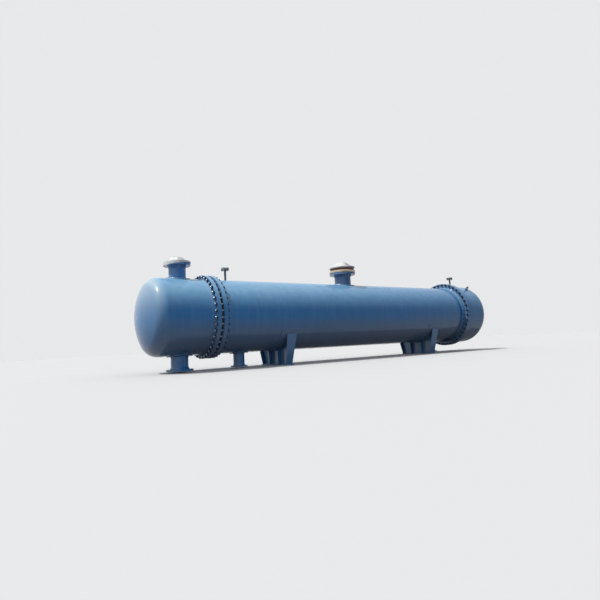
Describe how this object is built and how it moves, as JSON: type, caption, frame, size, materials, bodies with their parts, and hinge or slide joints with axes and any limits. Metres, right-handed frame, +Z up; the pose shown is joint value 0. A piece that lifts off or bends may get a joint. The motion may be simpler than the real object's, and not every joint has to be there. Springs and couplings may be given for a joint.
{
  "type": "shell and tube heat exchanger",
  "caption": "Horizontal floating-head shell and tube heat exchanger: dished channel and cover, bolted girth flanges, flanged nozzles and vents, on a fixed and a sliding saddle.",
  "frame": {"origin": "on the floor plane under the saddles, in the middle of the overall length and width", "axes": "+X along the shell axis from the channel end to the cover end, +Z up"},
  "size_m": [8.065, 1.45, 1.955],
  "materials": {
    "shell_blue": "glossy medium blue enamel",
    "nozzle_blue": "glossy deeper blue enamel",
    "sheet_steel": "machined steel",
    "gasket": "dark fibre gasket",
    "cap": "pale grey plastic",
    "board": "pale ply board",
    "packing": "red-brown packing ring",
    "lid": "pale lavender plastic",
    "fibre": "brown fibre gasket"
  },
  "bodies": {
    "root": {"channel_head": "shell_blue", "channel_barrel": "shell_blue", "channel_flange": "shell_blue", "channel_gasket": "gasket", "tube_sheet": "sheet_steel", "shell_gasket": "gasket", "shell_front_flange": "shell_blue", "shell_barrel": "shell_blue", "shell_rear_flange": "shell_blue", "cover_gasket": "gasket", "cover_flange": "shell_blue", "cover_barrel": "shell_blue", "cover_head": "shell_blue", "channel_top_nozzle": "nozzle_blue", "channel_top_pad": "shell_blue", "channel_top_gasket": "fibre", "channel_top_cover": "cap", "channel_bottom_nozzle": "nozzle_blue", "channel_bottom_pad": "shell_blue", "shell_top_nozzle": "nozzle_blue", "shell_top_pad": "shell_blue", "shell_top_blank": "board", "shell_top_packing": "packing", "shell_top_cover": "lid", "front_bottom_nozzle": "nozzle_blue", "front_bottom_pad": "shell_blue", "rear_bottom_nozzle": "nozzle_blue", "rear_bottom_pad": "shell_blue", "shell_vent": "nozzle_blue", "shell_vent_blind": "nozzle_blue", "cover_vent": "nozzle_blue", "cover_vent_blind": "nozzle_blue", "cover_front_lug": "shell_blue", "cover_back_lug": "shell_blue", "fixed_saddle_pad": "shell_blue", "fixed_saddle_frame": "nozzle_blue", "fixed_saddle_base": "nozzle_blue", "sliding_saddle_pad": "shell_blue", "sliding_saddle_frame": "nozzle_blue", "sliding_saddle_base": "nozzle_blue", "tube_bundle": "sheet_steel", "floating_tube_sheet": "sheet_steel", "backing_ring": "sheet_steel", "floating_head": "sheet_steel"}
  },
  "joints": []
}
